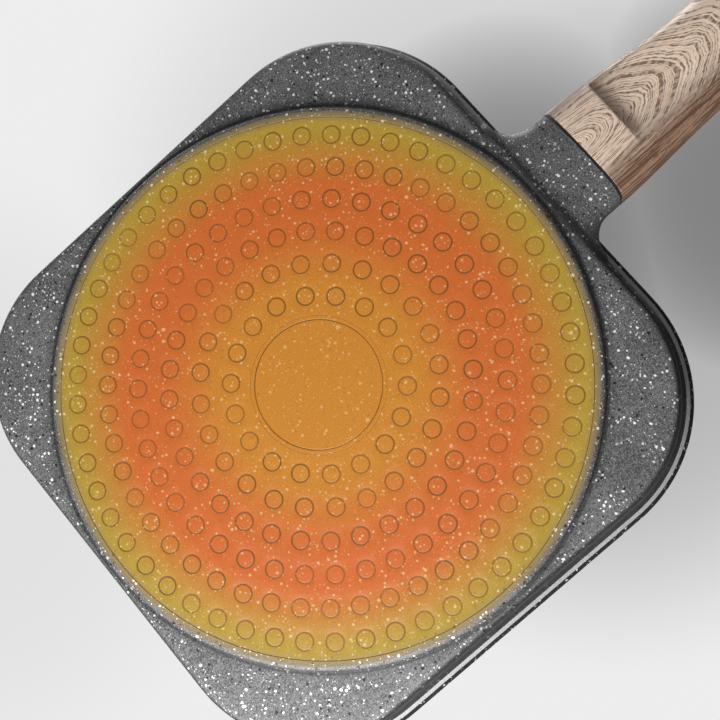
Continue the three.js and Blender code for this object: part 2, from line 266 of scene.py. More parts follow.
class FinishSettings(bpy.types.PropertyGroup):
    """Colours of the finishes, in linear values, and strengths of their shades and tint."""

    coat_dark: colour_property("Coat dark", "Darker grain of the stone-look coat", (0.022, 0.022, 0.023))
    coat_light: colour_property("Coat light", "Lighter grain of the stone-look coat", (0.175, 0.175, 0.177))
    # Colours of the painted highlight under the lip.
    highlight_dark: colour_property("Wall dark", "Darker grain of the line under the lip", (0.21, 0.21, 0.21))
    highlight_light: colour_property("Wall light", "Lighter grain of the line under the lip", (0.30, 0.30, 0.30))
    rim_dark: colour_property("Rim dark", "Darker grain of the rim's black coat", (0.006, 0.006, 0.006))
    rim_light: colour_property("Rim light", "Lighter grain of the black coat", (0.022, 0.022, 0.022))
    speck_light: colour_property("Light specks", "Pale specks in the coat", (0.68, 0.68, 0.67))
    # The dark specks' colour is also the colour of the painted shade in the casting's corners.
    dark_specks_and_shade: colour_property("Dark specks", "Black specks in the coat", (0.008, 0.008, 0.009))
    crease_shade: share_property("Crease shade", "Shade in the crease round the drum", 0.80)
    nearby_shade: share_property("Nearby shade", "Shade on the flats near the drum", 0.35)
    shoulder_shade: share_property("Shoulder shade", "Shade on the drum's round edge", 0.66)
    foot_shade: share_property("Foot shade", "Shade on the round from the flats into the wall", 0.86)
    neck_clearing: share_property("Neck clearing", "How much of the foot's shade the neck takes away", 0.90)
    root_shade: share_property("Root shade", "Shade where the neck leaves the pan's side", 0.55)
    heat_centre: colour_property("Heat centre", "Heat tint at the middle of the base", (0.600, 0.240, 0.022))
    heat_middle: colour_property("Heat middle", "Heat tint half way out", (0.620, 0.132, 0.022))
    heat_edge: colour_property("Heat edge", "Heat tint at the edge", (0.425, 0.310, 0.034))
    heat_grain: colour_property("Heat grain", "Darker grain in the heat tint", (0.30, 0.09, 0.01))
    heat_pale: colour_property("Heat pale specks", "Pale specks in the heat tint", (0.90, 0.74, 0.38))
    heat_dark: colour_property("Heat dark specks", "Dark specks in the heat tint", (0.12, 0.04, 0.01))
    heat_groove: colour_property("Heat groove", "Lines round the studs", (0.15, 0.060, 0.006))
    heat_cover: share_property("Heat cover", "How much the heat tint covers the coat", 1.0)
    heat_body: share_property("Heat body", "Share of the heat tint that takes light as paint does", 0.30)
    # Painted light: this share of the heat tint is emitted, so the plate glows though it is no lamp.
    tint_painted_glow: share_property("Heat glow", "Share of the heat tint that glows by itself", 0.67)
    wood_pale: colour_property("Wood pale", "Pale wood between the grain", (0.93, 0.735, 0.575))
    wood_brown: colour_property("Wood brown", "Brown of the broad grain", (0.20, 0.100, 0.054))
    # The grain's dark lines share their colour with the painted shade in the scoop's corner.
    wood_dark_and_shade: colour_property("Wood dark", "Dark lines of the grain", (0.100, 0.040, 0.017))
    zinc: colour_property("Zinc", "Plated steel of the bolt and washers", (0.58, 0.59, 0.60))
    brass: colour_property("Brass", "Brass of the threaded insert", (0.62, 0.42, 0.15))
    gasket: colour_property("Gasket", "Black of the gasket", (0.016, 0.015, 0.015))


class StageSettings(bpy.types.PropertyGroup):
    """Camera, floor and light."""

    camera_place: FloatVectorProperty(
        name="Camera place", description="Where the camera stands", default=(0.0458, 0.0723, -0.3879),
        subtype="TRANSLATION", unit="LENGTH", size=3, precision=4)
    camera_turn: FloatVectorProperty(
        name="Camera turn", description="The camera's rotation", subtype="EULER", size=3,
        default=(math.radians(-175.361), math.radians(-10.083), math.radians(40.874)))
    lens: FloatProperty(name="Lens", description="Focal length in mm", default=65.09, min=1.0)
    floor_side: FloatProperty(
        name="Floor side", description="Half the floor's side", default=60.0, min=1.0, unit="LENGTH")
    floor_drop: size_property("Floor drop", "How far the floor lies under the base", 0.4)
    floor_colour: colour_property("Floor colour", "Pale floor", (0.55, 0.55, 0.55))
    floor_mottle: colour_property("Floor mottle", "Faint clouds on the floor", (0.5, 0.5, 0.5))
    backdrop: colour_property("Backdrop", "Pale surroundings", (0.85, 0.85, 0.85))
    shade: colour_property("Backdrop shade", "Soft shades on the backdrop", (0.225, 0.225, 0.225))
    ambient_dark: colour_property("Ambient dark", "Light from the darker side", (0.09, 0.09, 0.09))
    ambient_bright: colour_property("Ambient bright", "Light from the brighter side", (0.50, 0.50, 0.50))
    bright_side: FloatVectorProperty(
        name="Bright side", description="Where the brighter light is: right, up and back from the picture",
        default=(-0.45, -0.80, 0.40), subtype="XYZ", size=3)
    lamp_place: FloatVectorProperty(
        name="Lamp place", description="The lamp: right, up and back from the pan, as the picture shows it",
        default=(-0.06, -0.26, 0.18), subtype="XYZ", unit="LENGTH", size=3)
    lamp_size: size_property("Lamp size", "Side of the lamp under the pan", 180)
    lamp_power: FloatProperty(name="Lamp power", description="Power in watts", default=2.4, min=0.0)


SETTINGS = {
    "egg_pan_body": PanBodySettings,
    "egg_pan_plate": BasePlateSettings,
    "egg_pan_handle": HandleSettings,
    "egg_pan_finish": FinishSettings,
    "egg_pan_stage": StageSettings,
}


class Value:
    """A shader socket that can be used in Python arithmetic; each operator adds a Math node."""

    def __init__(self, graph, socket):
        self.graph = graph
        self.socket = socket

    def math(self, operation, *others):
        """A Math node on this value and the others."""
        return self.graph.node("ShaderNodeMath", {"operation": operation}, dict(enumerate((self, *others))))

    def sibling(self, out):
        """Another output of this value's node."""
        return Value(self.graph, self.socket.node.outputs[out])

    def __add__(self, other):
        return self.math("ADD", other)

    __radd__ = __add__

    def __sub__(self, other):
        return self.math("SUBTRACT", other)

    def __rsub__(self, other):
        return self.graph.node("ShaderNodeMath", {"operation": "SUBTRACT"}, {0: other, 1: self})

    def __mul__(self, other):
        return self.math("MULTIPLY", other)

    __rmul__ = __mul__

    def __truediv__(self, other):
        return self.math("DIVIDE", other)

    def __pow__(self, other):
        return self.math("POWER", other)

    def ramp(self, low, high):
        """0 at low, 1 at high, smooth between."""
        settings = {"interpolation_type": "SMOOTHSTEP"}
        return self.graph.node("ShaderNodeMapRange", settings, {0: self, 1: low, 2: high, 3: 0.0, 4: 1.0})


def greatest(values):
    """The largest of several values."""
    return reduce(lambda first, second: first.math("MAXIMUM", second), values)


class Graph:
    """Node tree of one material or world, with one method that adds any node."""

    def __init__(self, owner):
        owner.use_nodes = True
        self.owner = owner
        self.tree = owner.node_tree
        self.tree.nodes.clear()

    def node(self, kind, settings=None, inputs=None, out=0):
        """Adds a node, sets its settings, sets or links its sockets, and gives one of its outputs."""
        made = self.tree.nodes.new(kind)
        for key, value in (settings or {}).items():
            if key == "stops":
                self.set_stops(made.color_ramp, value)
            else:
                setattr(made, key, value)
        for key, value in (inputs or {}).items():
            if isinstance(value, Value):
                self.tree.links.new(value.socket, made.inputs[key])
            else:
                made.inputs[key].default_value = value
        return Value(self, made.outputs[out]) if len(made.outputs) else made

    @staticmethod
    def set_stops(colour_ramp, stops):
        """Puts a list of places and colours into a colour ramp."""
        elements = colour_ramp.elements
        while len(elements) < len(stops):
            elements.new(1.0)
        for element, (place, colour) in zip(elements, stops):
            element.position = place
            element.color = (*colour, 1.0)

    def place(self):
        """The place on the object, in metres."""
        return self.node("ShaderNodeTexCoord", out="Object")

    def axes(self, vector):
        """The three parts of a vector."""
        parts = self.node("ShaderNodeSeparateXYZ", {}, {0: vector})
        return [parts.sibling(axis) for axis in "XYZ"]

    def dot(self, first, second):
        """Dot product of two vectors."""
        settings = {"operation": "DOT_PRODUCT"}
        return self.node("ShaderNodeVectorMath", settings, {0: first, 1: second}, out="Value")

    def mix(self, factor, first, second):
        """Colour between first and second."""
        pair = [value if isinstance(value, Value) else (*value, 1.0) for value in (first, second)]
        settings = {"data_type": "RGBA"}
        return self.node("ShaderNodeMix", settings, {0: factor, 6: pair[0], 7: pair[1]}, out=2)

    def noise(self, vector, scale, detail=2.0, roughness=0.5, out=0):
        """Soft noise with this many lumps in a metre."""
        inputs = {"Vector": vector, "Scale": scale, "Detail": detail, "Roughness": roughness}
        return self.node("ShaderNodeTexNoise", {}, inputs, out)

    def principled(self, inputs, height, bump):
        """Surface shader with a bump of the given height and strength."""
        relief = {"Height": height, "Strength": bump, "Distance": BUMP_HEIGHT}
        inputs = {**inputs, "Normal": self.node("ShaderNodeBump", {}, relief)}
        shader = self.node("ShaderNodeBsdfPrincipled", {}, inputs)
        self.node("ShaderNodeOutputMaterial", {}, {"Surface": shader})


def specks(graph, place, scale, largest, rarity):
    """Round specks: near a random cell point, with a random radius in each cell that is mostly small."""
    distance = graph.node("ShaderNodeTexVoronoi", {}, {"Vector": place, "Scale": scale}, out="Distance")
    chance = graph.node("ShaderNodeSeparateColor", {}, {0: distance.sibling("Color")})
    radius = chance ** rarity * largest - SPECK_SOFTNESS
    return (radius - distance).ramp(-SPECK_SOFTNESS, SPECK_SOFTNESS)


class Coat:
    """Grain and specks of one coat, read from Object coordinates. Noise moves the specks' cells a little, so
    that the specks aren't round, and fine grain with broad clouds mixes the dark and light colours. amount is
    how strongly the specks show."""

    def __init__(self, name, dark, light, amount):
        finish = bpy.context.scene.egg_pan_finish
        self.graph = Graph(bpy.data.materials.new(name))
        graph = self.graph
        self.place = graph.place()
        wobble = graph.noise(self.place, WOBBLE_SCALE, detail=1.0, out="Color")
        shift = graph.node("ShaderNodeVectorMath", {"operation": "MULTIPLY_ADD"},
                           {0: wobble, 1: (WOBBLE,) * 3, 2: self.place})
        self.grain = graph.noise(self.place, GRAIN_SCALE, detail=3.0, roughness=0.7)
        cloud = graph.noise(self.place, CLOUD_SCALE)
        coat = graph.mix((self.grain * 0.85 + cloud * 0.15).ramp(0.34, 0.66), dark, light)
        few, many, tiny = (specks(graph, shift, **kind) for kind in (FEW_SPECKS, MANY_SPECKS, TINY_SPECKS))
        self.pale = greatest((few, many, tiny * 0.7)) * cloud.ramp(0.27, 0.43) * amount
        self.black = specks(graph, shift, **BLACK_SPECKS) * amount
        coat = graph.mix(self.black, coat, finish.dark_specks_and_shade)
        self.colour = graph.mix(self.pale, coat, finish.speck_light)

    def finish(self, colour, glow=None, specular=0.3):
        """Satin shader: grain makes it rougher, pale specks make it smoother, and both stand proud."""
        roughness = 0.5 + (self.grain - 0.5) * 0.2 - self.pale * 0.12
        inputs = {"Base Color": colour, "Specular IOR Level": specular, "Roughness": roughness}
        # glow is emission: on the heat tint it is painted light.
        if glow is not None:
            inputs.update({"Emission Color": glow, "Emission Strength": 1.0})
        self.graph.principled(inputs, height=self.grain + self.pale * 0.6, bump=0.15)
        return self.graph.owner


def corner_shade(across, along, height, radius):
    """Shade in the casting's inner corners, each a product of smooth steps: in the crease round the drum, on
    the flats near it, on the drum's round edge, on the round into the wall and at the neck's root."""
    finish = bpy.context.scene.egg_pan_finish
    sizes = bpy.context.scene.egg_pan_body
    neck_side = bpy.context.scene.egg_pan_handle.width / 2
    flat = sizes.flats_height
    foot_at = RIM_HALF_WIDTH - sizes.lip_reach - sizes.wall_lean
    beyond = radius - sizes.drum_radius
    flats = height.ramp(flat - 0.4 * MM, flat) * (1.0 - height.ramp(flat + 0.2 * MM, flat + 0.6 * MM))
    crease = (1.0 - beyond.ramp(0.6 * MM, 1.8 * MM)) * flats
    nearby = (1.0 - beyond.ramp(0.0, 4.5 * MM)) * flats
    shoulder = height.ramp(0.1 * MM, 1.2 * MM) * (1.0 - beyond.ramp(0.0, 0.3 * MM))
    foot = height.ramp(flat + 0.03 * MM, flat + 1.0 * MM)
    foot = foot * (1.0 - across.ramp(foot_at + 0.8 * MM, foot_at + 2.0 * MM))
    neck = 1.0 - along.math("ABSOLUTE").ramp(neck_side, neck_side + 9.0 * MM)
    neck = neck * across.ramp(foot_at - 9.2 * MM, foot_at - 5.2 * MM)
    root = across.ramp(foot_at + 0.2 * MM, foot_at + 0.6 * MM)
    root = root * (1.0 - across.ramp(foot_at + 1.2 * MM, foot_at + 2.2 * MM))
    return greatest((
        crease * finish.crease_shade,
        nearby * finish.nearby_shade,
        shoulder * finish.shoulder_shade,
        foot * finish.foot_shade * (1.0 - neck * finish.neck_clearing),
        root * finish.root_shade))


def heat_tint(coat, share, height):
    """Heat tint and how much it covers the coat. Its colour follows the share of the plate's radius, with the
    coat's grain and specks in it and worn dark lines in the grooves. It ends just past the plate's edge and
    just above the resting plane."""
    finish = bpy.context.scene.egg_pan_finish
    graph = coat.graph
    centre, middle, edge = finish.heat_centre, finish.heat_middle, finish.heat_edge
    stops = list(zip(HEAT_PLACES, (centre, centre, middle, middle, edge)))
    heat = graph.node("ShaderNodeValToRGB", {"stops": stops}, {0: share})
    low = 1.0 - height.ramp(1.0 * MM, 1.8 * MM)
    groove = height.ramp(0.02 * MM, 0.10 * MM) * low
    worn = graph.noise(coat.place, WEAR_SCALE).ramp(0.35, 0.65)
    heat = graph.mix((coat.grain - 0.5).ramp(-0.2, 0.2) * 0.5, heat, finish.heat_grain)
    heat = graph.mix(coat.pale * (0.25 + share * 0.2), heat, finish.heat_pale)
    heat = graph.mix(coat.black * 0.15, heat, finish.heat_dark)
    heat = graph.mix(groove * (0.55 + worn * 0.35), heat, finish.heat_groove)
    return heat, (1.0 - share.ramp(*HEAT_END)) * low * finish.heat_cover


def stone_coat():
    """Speckled stone-look coat with painted shade in the inner corners and the heat tint on the base. The
    tint
    is partly paint and partly painted light: it glows by itself, though the plate is no lamp."""
    finish = bpy.context.scene.egg_pan_finish
    coat = Coat(STONE, finish.coat_dark, finish.coat_light, amount=1.0)
    graph = coat.graph
    across, along, height = graph.axes(coat.place)
    radius = (across * across + along * along) ** 0.5
    # Painted shade: crease, flats near the drum, drum edge, wall foot and neck root darken towards the dark
    # specks' colour.
    shade = corner_shade(across, along, height, radius)
    shaded = graph.mix(shade, coat.colour, finish.dark_specks_and_shade)
    heat, cover = heat_tint(coat, radius / PLATE_RADIUS, height)
    paint = graph.mix(finish.heat_body, NO_LIGHT, heat)
    # Painted light: the tint's glow, an emission on a plate that is no lamp.
    glow = graph.mix(cover * finish.tint_painted_glow, NO_LIGHT, heat)
    return coat.finish(graph.mix(cover, shaded, paint), glow)


def lip_highlight_coat():
    """Painted highlight under the lip: a pale satin line with faint specks."""
    finish = bpy.context.scene.egg_pan_finish
    coat = Coat(LIP_HIGHLIGHT, finish.highlight_dark, finish.highlight_light, amount=0.15)
    return coat.finish(coat.colour)


def rim_coat():
    """Black coat of the cups that wraps over the rim."""
    finish = bpy.context.scene.egg_pan_finish
    coat = Coat(RIM, finish.rim_dark, finish.rim_light, amount=0.55)
    return coat.finish(coat.colour, specular=0.12)


def scoop_shade(handle, along, across, under):
    """Shade in the inner corner of the finger scoop's step, which fades along the scoop and to one side."""
    front = handle.scoop_at
    behind = along.ramp(front, front + 0.6 * MM) * (1.0 - along.ramp(front + 1.0 * MM, front + 8.0 * MM))
    sunk = under.ramp(0.6 * MM, 1.4 * MM) * (1.0 - under.ramp(3.0 * MM, 3.6 * MM))
    return behind * sunk * (1.0 - across.ramp(3.0 * MM, 10.0 * MM)) * 0.6


def wood_look():
    """Printed wood: lines, bands and dashes along nested arches, with dense brown stripes on the sides. An
    arch joins the places that are equally far from the arches' start, with distances across the handle and
    above its underside multiplied to squeeze the arches. Noise bends them."""
    finish = bpy.context.scene.egg_pan_finish
    handle = bpy.context.scene.egg_pan_handle
    graph = Graph(bpy.data.materials.new(WOOD))
    local = graph.node("ShaderNodeMapping", {"vector_type": "TEXTURE"}, {
        "Vector": graph.place(), "Location": (handle.seam_reach, 0.0, handle.seam_height),
        "Rotation": (0.0, -handle.rise, 0.0)})
    along, across, up = graph.axes(local)
    under = up + handle.depth / 2

    def stretched(by, scale):
        """Noise drawn out along the handle."""
        vector = graph.node("ShaderNodeVectorMath", {"operation": "MULTIPLY"}, {0: local, 1: (by, 1.0, 1.0)})
        return graph.noise(vector, scale, roughness=0.6)

    def banded(scale):
        """Noise that changes only from arch to arch."""
        return graph.node("ShaderNodeTexNoise", {"noise_dimensions": "1D"}, {
            "W": arch * scale, "Scale": 1.0, "Detail": 2.0, "Roughness": 0.5})

    start = along + ARCH_BEFORE
    aside = (across + ARCH_ASIDE) * ARCH_SQUEEZE_ACROSS
    below = under * ARCH_SQUEEZE_UP
    arch = (start * start + aside * aside + below * below) ** 0.5
    arch = arch + (stretched(0.5, WAVE_SCALE) - 0.5) * WAVE_SWING
    arch = arch + (stretched(0.5, RIPPLE_SCALE) - 0.5) * RIPPLE_SWING
    right = (across + along * RIGHT_SIDE_LEAN).ramp(*RIGHT_SIDE)
    left = (0.0 - across).ramp(*LEFT_SIDE)
    sides = greatest((right, left))
    fibre = stretched(0.014, FIBRE_SCALE)
    dashes = stretched(0.40, DASH_SCALE).ramp(0.42, 0.56)
    broad = banded(BROAD_SCALE).ramp(0.35, 0.66)
    lines = banded(LINE_SCALE).ramp(0.50, 0.58) * (dashes * 0.45 + 0.38)
    bands = banded(BAND_SCALE).ramp(0.555, 0.61) * (dashes * 0.40 + 0.42)
    stripes = fibre.ramp(0.45, 0.53) * (sides * 0.82 + 0.10)
    # dark holds the grain's lines and the painted shade in the scoop's corner.
    dark = greatest((lines, bands, stripes, scoop_shade(handle, along, across, under)))
    brown = graph.mix(broad * 0.10 + sides * 0.8, finish.wood_pale, finish.wood_brown)
    colour = graph.mix(dark, brown, finish.wood_dark_and_shade)
    inputs = {"Base Color": colour, "Roughness": 0.45 + dark * 0.15}
    graph.principled(inputs, height=fibre - dark * 0.5, bump=0.1)
    return graph.owner


def plain_finish(name, colour, metallic, roughness, scale):
    """A small fitting's finish, with a little mottling in colour and roughness."""
    graph = Graph(bpy.data.materials.new(name))
    mottle = graph.noise(graph.place(), scale, detail=3.0)
    darker = tuple(0.7 * part for part in colour)
    inputs = {
        "Base Color": graph.mix(mottle.ramp(0.3, 0.7), darker, colour),
        "Metallic": metallic,
        "Roughness": roughness + (mottle - 0.5) * 0.2,
    }
    graph.principled(inputs, height=mottle, bump=0.1)
    return graph.owner


def finish_of(name):
    """The material of a finish, made the first time that it is asked for."""
    makers = {STONE: stone_coat, LIP_HIGHLIGHT: lip_highlight_coat, RIM: rim_coat, WOOD: wood_look}
    return bpy.data.materials.get(name) or makers[name]()


class Shell:
    """Points and faces of one surface, gathered as whole arrays."""

    def __init__(self):
        self.points = []
        self.faces = []
        self.finishes = []
        self.total = 0

    def add(self, points):
        """Adds points and gives the number of the first."""
        first = self.total
        self.points.append(points.reshape(-1, 3))
        self.total += len(self.points[-1])
        return first

    def skin(self, faces, finish=0):
        """Adds faces. finish is one place in the list of materials, or one for each face."""
        self.faces.append(faces)
        self.finishes.append(np.broadcast_to(finish, (len(faces),)))

    def mirror_in(self, other, signs):
        """Adds another shell with its points times the signs, turning its faces where that flips them."""
        first = self.add(np.concatenate(other.points) * signs)
        order = 1 if math.prod(signs) > 0 else -1
        for faces, finish in zip(other.faces, other.finishes):
            self.skin(first + faces[:, ::order], finish)

    def mesh(self, name, materials=()):
        """The gathered surface as a mesh."""
        made = bpy.data.meshes.new(name)
        faces = chain.from_iterable(batch.tolist() for batch in self.faces)
        made.from_pydata(np.concatenate(self.points).tolist(), [], list(faces))
        for material in materials:
            made.materials.append(finish_of(material))
        made.polygons.foreach_set("material_index", np.concatenate(self.finishes).astype(np.int32))
        return made


def show(name, data):
    """A new object in the scene."""
    made = bpy.data.objects.new(name, data)
    bpy.context.scene.collection.objects.link(made)
    return made


def smooth(mesh):
    """Smooth shading that keeps sharp edges."""
    mesh.shade_smooth()
    mesh.set_sharp_from_angle(angle=SHARP_ANGLE)


def make_piece(name, shell, materials, node):
    """Makes a shell's mesh, closes its seams, and rides it in place of its CAD node."""
    mesh = shell.mesh(name, materials)
    work = bmesh.new()
    work.from_mesh(mesh)
    bmesh.ops.remove_doubles(work, verts=work.verts, dist=MERGE_DISTANCE)
    bmesh.ops.dissolve_degenerate(work, edges=work.edges, dist=SLIVER_LENGTH)
    work.to_mesh(mesh)
    work.free()
    smooth(mesh)
    piece = show(name, mesh)
    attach(piece, BODY)
    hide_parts(node)
    return piece


def compass(angles):
    """Unit plan vectors at the angles."""
    return np.column_stack((np.cos(angles), np.sin(angles)))


def arc(cx, cy, radius, start, end, count):
    """Points on an arc between two angles in degrees."""
    return (cx, cy) + radius * compass(np.radians(np.linspace(start, end, count)))


def column(values):
    """Values as a column, one for each row of a grid of points."""
    return np.reshape(values, (-1, 1, 1))


def lifted(plans, heights):
    """Rows of plan points, each row at its own height or all at one."""
    heights = np.broadcast_to(column(heights), (*plans.shape[:2], 1))
    return np.concatenate((plans, heights), -1)


def spun(profile, angles):
    """Rings about the upright axis: each point of the profile gives a ring's radius and height."""
    profile = np.asarray(profile)
    return lifted(column(profile[:, 0]) * compass(angles), profile[:, 1])


def strip(first, rows, columns, closed):
    """Quads between the neighbouring rows of a grid of points: a point, the one in the next row, and the same
    two in the next column. A closed grid joins its last column to its first."""
    row = first + columns * np.arange(rows - 1)[:, None]
    place = np.arange(columns if closed else columns - 1)
    here = row + place
    beside = row + (place + 1) % columns
    return np.stack((here, here + columns, beside + columns, beside), -1).reshape(-1, 4)


def fan(pole, first, count, closed=True):
    """Triangles from a pole to the neighbouring points of a row."""
    here = np.arange(count if closed else count - 1)
    return np.column_stack((np.full(len(here), pole), first + here, first + (here + 1) % count))


def quadrant_edge(half, corner, count):
    """Plan outline of a quarter of the deck: out along one axis, round the rim, and back along the other.
    Gives the whole outline, its part on the rim, and the outward directions there."""
    inner = np.linspace(0.0, half, count, endpoint=False)
    side = np.linspace(0.0, half - corner, count, endpoint=False)
    bend = arc(half - corner, half - corner, corner, 0, 90, count)
    zero, edge = np.zeros(count), np.full(count, half)
    outer = np.concatenate((
        np.column_stack((edge, side)), bend, np.column_stack((side[::-1], edge))))
    normal = np.concatenate((
        np.tile((1.0, 0.0), (count, 1)), (bend - (half - corner)) / corner, np.tile((0.0, 1.0), (count, 1))))
    back = np.linspace(half, 0.0, count, endpoint=False)[1:]
    loop = np.concatenate((np.column_stack((inner, zero)), outer, np.column_stack((zero[1:], back))))
    return loop, outer, normal


def cup_profile(sizes):
    """Radius and height from the cup's floor out over its mouth."""
    floor = PAN_HEIGHT - sizes.cup_depth
    base = sizes.cup_radius - sizes.cup_taper - sizes.cup_floor_round
    mouth = sizes.cup_mouth_round
    return np.concatenate((
        np.column_stack((np.linspace(base / 6, base, 5, endpoint=False), np.full(5, floor))),
        arc(base, floor + sizes.cup_floor_round, sizes.cup_floor_round, -90, 0, 9),
        [(sizes.cup_radius - sizes.cup_neck, PAN_HEIGHT - 2 * mouth)],
        arc(sizes.cup_radius + mouth, PAN_HEIGHT - mouth, mouth, 180, 90, 6)))


def wall_profile(sizes):
    """Half-width and height from the deck's edge down over the lip and wall to the corner flats."""
    lip_under = PAN_HEIGHT - sizes.lip_height
    wall_top = RIM_HALF_WIDTH - sizes.lip_reach
    foot = wall_top - sizes.wall_lean
    return np.concatenate((
        arc(RIM_HALF_WIDTH - sizes.lip_round, PAN_HEIGHT - sizes.lip_round, sizes.lip_round, 90, 0, 6)[1:],
        arc(wall_top, lip_under + sizes.lip_reach, sizes.lip_reach, 0, -75, 11),
        [(wall_top - sizes.wall_lean / 4, lip_under - sizes.wall_break)],
        arc(foot - sizes.foot_round, sizes.flats_height + sizes.foot_round, sizes.foot_round, 0, -90, 8)))


def base_profile(sizes):
    """Radius and height from the drum's foot over the plate's seat and the boss towards the middle."""
    drum, edge, flats = sizes.drum_radius, sizes.drum_round, sizes.flats_height
    seat, boss = PLATE_RADIUS + SEAM, sizes.boss_radius
    fillet, dip = sizes.drum_fillet, 0.08 * sizes.drum_fillet
    return np.concatenate((
        [(drum + fillet, flats), (drum + fillet / 4, flats - dip)],
        arc(drum - edge, edge, edge, -12, -90, 8),
        [(seat + BEVEL, 0.0), (seat, BEVEL), (seat, PLATE_THICKNESS), (boss, PLATE_THICKNESS),
         (boss, BEVEL), (boss - 2 * BEVEL, 0.0), (boss / 2, 0.0)]))


def body_quarter(sizes):
    """A quarter of the body: cup and deck as rings about the cup, then wall and base as rings about the pan,
    along the same columns. Cups, deck and lip are black, a line under the lip carries a painted highlight,
    and the rest is speckled."""
    half = RIM_HALF_WIDTH - sizes.lip_round
    loop, outer, normal = quadrant_edge(half, sizes.corner - sizes.lip_round, EDGE_STEPS)
    cup, wall, base = cup_profile(sizes), wall_profile(sizes), base_profile(sizes)

    centre = np.full(2, sizes.cup_spacing / 2)
    away = compass(np.arctan2(*(loop - centre).T[::-1]))
    mouth = centre + cup[-1, 0] * away
    deck = mouth + column(DECK_SHARES) * (loop - mouth)
    rings = np.concatenate((
        lifted(centre + column(cup[:, 0]) * away, cup[:, 1]),
        lifted(deck, PAN_HEIGHT)))

    sides = outer + column(wall[:, 0] - half) * normal
    foot = sides[-1]
    turned = compass(np.arctan2(*foot.T[::-1]))
    flats = foot + column(FLATS_SHARES) * (base[0, 0] * turned - foot)
    rows = np.concatenate((
        lifted(outer[None], PAN_HEIGHT),
        lifted(sides, wall[:, 1]),
        lifted(flats, sizes.flats_height),
        lifted(column(base[:, 0]) * turned, base[:, 1])))

    lip_under = PAN_HEIGHT - sizes.lip_height
    # The band between these borders carries the painted highlight under the lip.
    borders = (-lip_under - sizes.highlight_top, -lip_under - sizes.highlight_foot)
    lip, highlight_end = np.searchsorted(-wall[:, 1], borders)
    finish = np.full(len(rows) - 1, SPECKLED)
    finish[:lip] = BLACK
    finish[lip:highlight_end] = HIGHLIGHT

    quarter = Shell()
    first = quarter.add(rings)
    pole = quarter.add(np.array((*centre, cup[0, 1])))
    quarter.skin(strip(first, len(rings), len(loop), True), BLACK)
    quarter.skin(fan(pole, first, len(loop)), BLACK)
    first = quarter.add(rows)
    pole = quarter.add(np.zeros(3))
    last = first + (len(rows) - 1) * len(outer)
    quarter.skin(strip(first, len(rows), len(outer), False), np.repeat(finish, len(outer) - 1))
    quarter.skin(fan(pole, last, len(outer), False)[:, ::-1], SPECKLED)
    return quarter


def handle_place(local):
    """Points given along, across and above the handle's axis, turned by its slope into the pan's frame."""
    handle = bpy.context.scene.egg_pan_handle
    along, across, above = local.T
    c, s = math.cos(handle.rise), math.sin(handle.rise)
    return np.column_stack((
        handle.seam_reach + along * c - above * s, across, handle.seam_height + along * s + above * c))


def oval_rings(along, width, depth, lift):
    """Superellipse sections: |v / half width| and |w / half depth|, both to the power, add up to one."""
    power = bpy.context.scene.egg_pan_handle.oval_power
    round_ = compass(np.linspace(0.0, 2 * np.pi, OVAL_SIDES, endpoint=False))
    bent = np.sign(round_) * np.abs(round_) ** (2 / power)
    return np.stack((
        np.repeat(along[:, None], OVAL_SIDES, 1),
        width[:, None] / 2 * bent[:, 0],
        lift[:, None] + depth[:, None] / 2 * bent[:, 1]), -1)


def handle_tube(rings):
    """A closed tube over rings along the handle, with a fan to a pole at the middle of each end."""
    rows, sides, _ = rings.shape
    tube = Shell()
    first = tube.add(handle_place(rings.reshape(-1, 3)))
    poles = tube.add(handle_place(rings[[0, -1]].mean(1)))
    tube.skin(strip(first, rows, sides, True)[:, ::-1])
    tube.skin(fan(poles, first, sides)[:, ::-1])
    tube.skin(fan(poles + 1, first + (rows - 1) * sides, sides))
    return tube


def smooth_between(where, places, values):
    """Values at the places, joined by smooth steps with level ends."""
    index = np.clip(np.searchsorted(places, where, side="right") - 1, 0, len(places) - 2)
    places, values = np.asarray(places), np.asarray(values)
    share = np.clip((where - places[index]) / (places[index + 1] - places[index]), 0.0, 1.0)
    return values[index] + (values[index + 1] - values[index]) * share ** 2 * (3 - 2 * share)


def stud_rows(plate, radius, half, count):
    """One stud's patch of the plate, a sector of its ring: the patch's edge, three rings that make the V
    groove round the stud, then three that make a fainter line on it."""
    beta = math.pi / count
    steps = STUD_STEPS
    side = np.linspace(radius - half, radius + half, steps, endpoint=False)
    bend = np.linspace(-beta, beta, steps, endpoint=False)
    reach = np.concatenate((
        side, np.full(steps, radius + half), side[::-1] + 2 * half / steps, np.full(steps, radius - half)))
    angle = np.concatenate((np.full(steps, -beta), bend, np.full(steps, beta), -bend))
    edge = reach[:, None] * compass(angle)
    centre = np.array((radius, 0.0))
    away = compass(np.arctan2(*(edge - centre).T[::-1]))
    stud, groove, depth = plate.stud_radius, plate.groove_width / 2, plate.groove_depth
    inner, fine = plate.inner_line * stud, groove / 2
    rings = np.array((
        (stud + groove, 0.0), (stud, depth), (stud - groove, 0.0),
        (inner + fine, 0.0), (inner, depth / 5), (inner - fine, 0.0)))
    return np.concatenate((
        lifted(edge[None], 0.0), lifted(centre + column(rings[:, 0]) * away, rings[:, 1])))


